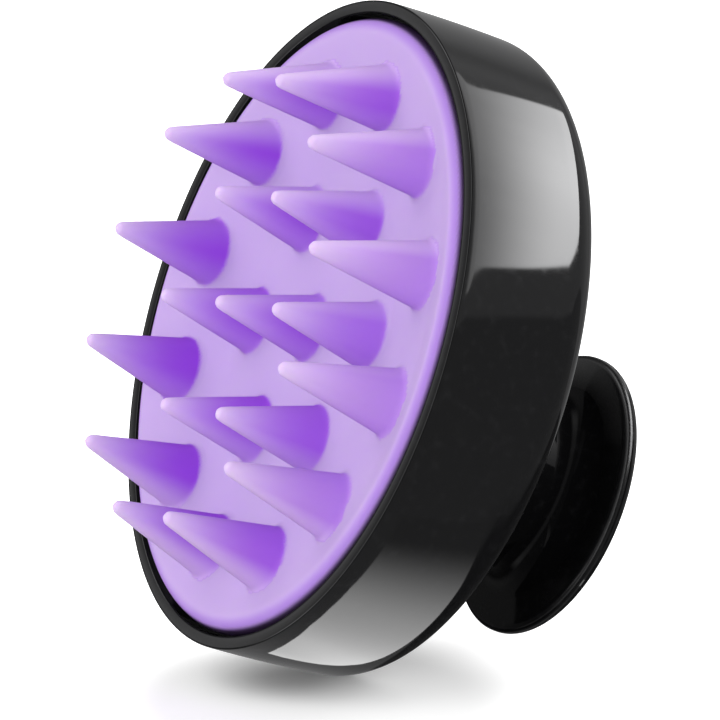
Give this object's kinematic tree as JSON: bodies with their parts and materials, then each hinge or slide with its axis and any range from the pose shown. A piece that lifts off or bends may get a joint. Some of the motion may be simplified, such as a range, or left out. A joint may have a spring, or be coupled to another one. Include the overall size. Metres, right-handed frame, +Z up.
{
  "type": "scalp massager brush",
  "caption": "Palm brush with a soft pad of cones in a round glossy cup, held by a knob on a waisted neck between two fingers",
  "frame": {"origin": "on the surface that the brush lies on, under the middle of its box", "axes": "+Z is up as the brush lies on its side, on the cup's back edge and the knob's edge. The cones point to -Y and about 24 degrees upwards, and the knob is at +Y. X runs across the brush, whose plane of symmetry is X = 0."},
  "size_m": [0.0862, 0.0688, 0.0852],
  "materials": {
    "pad_silicone": "satin lavender silicone, slightly translucent at the thin tips",
    "plate_plastic": "plain moulded white plastic, hidden inside the pad",
    "screw_steel": "zinc plated steel screws",
    "cup_plastic": "polished black plastic with clear mirror-like reflections",
    "neck_plastic": "polished black plastic",
    "knob_plastic": "polished black plastic"
  },
  "bodies": {
    "root": {"bristle_pad": "pad_silicone", "carrier_plate": "plate_plastic", "plate_screws": "screw_steel", "shell": "cup_plastic", "neck": "neck_plastic", "foot_screws": "screw_steel", "knob_base": "knob_plastic", "knob_screw": "screw_steel", "knob_cap": "knob_plastic"}
  },
  "joints": []
}
